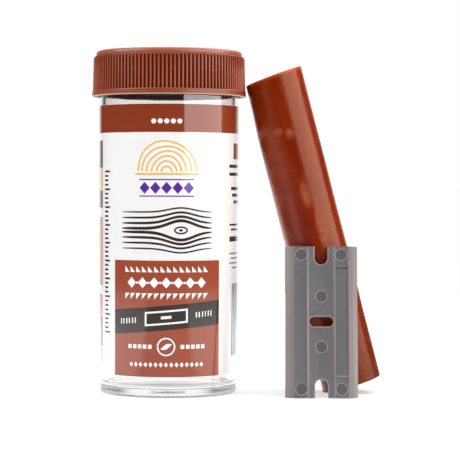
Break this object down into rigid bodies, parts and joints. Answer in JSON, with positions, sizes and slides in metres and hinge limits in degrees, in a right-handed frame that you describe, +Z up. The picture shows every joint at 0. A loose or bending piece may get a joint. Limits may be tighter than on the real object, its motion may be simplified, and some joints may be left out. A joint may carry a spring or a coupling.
{
  "type": "furniture repair wax stick",
  "caption": "Moulded wax stick for filling scratches in furniture, with a clear screw-capped storage vial and a double-edged plastic scraper that levels the fill.",
  "frame": {"origin": "on the floor, at the centre of the vial's standing ring, on the vial's axis", "axes": "+Z up along the vial's axis; the label's panel and the scraper's face look along -Y; the stick stands on the +X side"},
  "size_m": [0.0741, 0.0392, 0.0868],
  "materials": {
    "clear_polystyrene": "gloss",
    "printed_film": "gloss",
    "brown_polypropylene": "satin",
    "liner_foam": "matte",
    "brown_wax": "satin",
    "grey_polycarbonate": "satin"
  },
  "bodies": {
    "vial": {"vial": "clear_polystyrene", "label": "printed_film"},
    "liner": {"cap_liner": "liner_foam"},
    "cap": {"cap": "brown_polypropylene"},
    "stick": {"wax_stick": "brown_wax"},
    "scraper": {"scraper": "grey_polycarbonate"}
  },
  "joints": [
    {"name": "cap_rise", "type": "slide", "parent": "vial", "child": "liner", "axis": [0, 0, 1], "range_m": [0, 0.0127]},
    {"name": "cap_turn", "type": "hinge", "parent": "liner", "child": "cap", "pos_m": [0, 0, 0.0755], "axis": [0, 0, 1], "range_deg": [0, 1080]},
    {"name": "stick_lift", "type": "slide", "parent": "vial", "child": "stick", "axis": [0, 0, 1], "range_m": [0, 0.09]},
    {"name": "scraper_lift", "type": "slide", "parent": "vial", "child": "scraper", "axis": [0, 0, 1], "range_m": [0, 0.09]}
  ],
  "couplings": [
    {"joint": "cap_rise", "follows": "cap_turn", "m_per_rad": 0.00067375}
  ]
}
